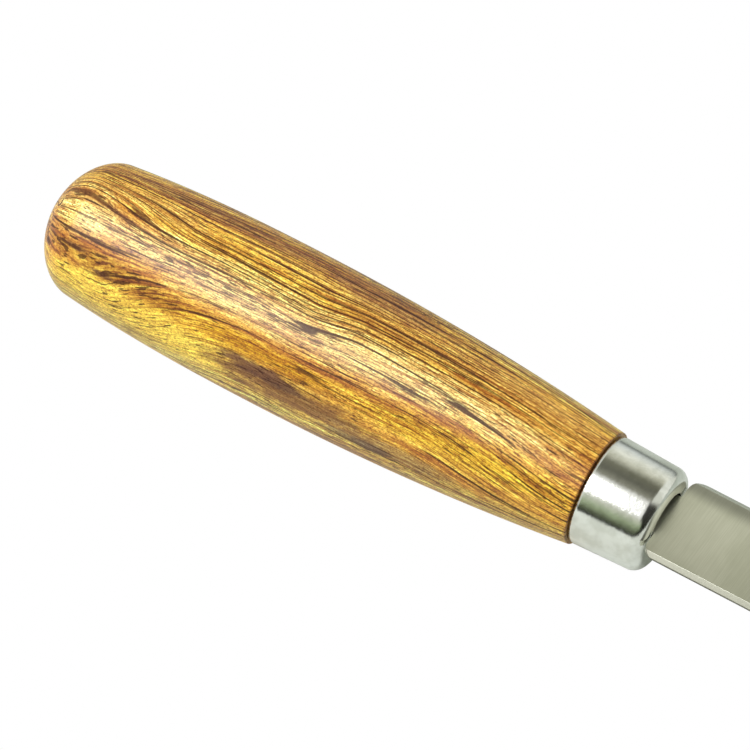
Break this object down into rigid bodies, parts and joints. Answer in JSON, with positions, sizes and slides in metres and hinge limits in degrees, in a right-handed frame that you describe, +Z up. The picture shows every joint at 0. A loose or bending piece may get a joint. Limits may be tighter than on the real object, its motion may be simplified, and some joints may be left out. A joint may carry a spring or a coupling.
{
  "type": "uncapping knife",
  "caption": "Beekeeper's long straight two-edged knife for slicing wax cappings off honeycomb, with a turned wooden handle and a drawn metal ferrule.",
  "frame": {"origin": "middle of the footprint, on the surface that the knife lies on, resting on the handle's belly and the blade's tip", "axes": "+X along the surface from the butt towards the tip, +Y across the blade towards its scalloped edge, +Z up; the knife's own axis leans 2.93 degrees down towards the tip"},
  "size_m": [0.4164, 0.032, 0.0335],
  "materials": {
    "lacquered_wood": "gloss lacquer over open brown grain",
    "polished_plate": "polished bright plate",
    "satin_steel": "fine grinding lines across the blade",
    "cured_resin": "dull cast surface"
  },
  "bodies": {
    "root": {"handle": "lacquered_wood", "ferrule": "polished_plate", "blade": "satin_steel", "tang_resin": "cured_resin"}
  },
  "joints": []
}
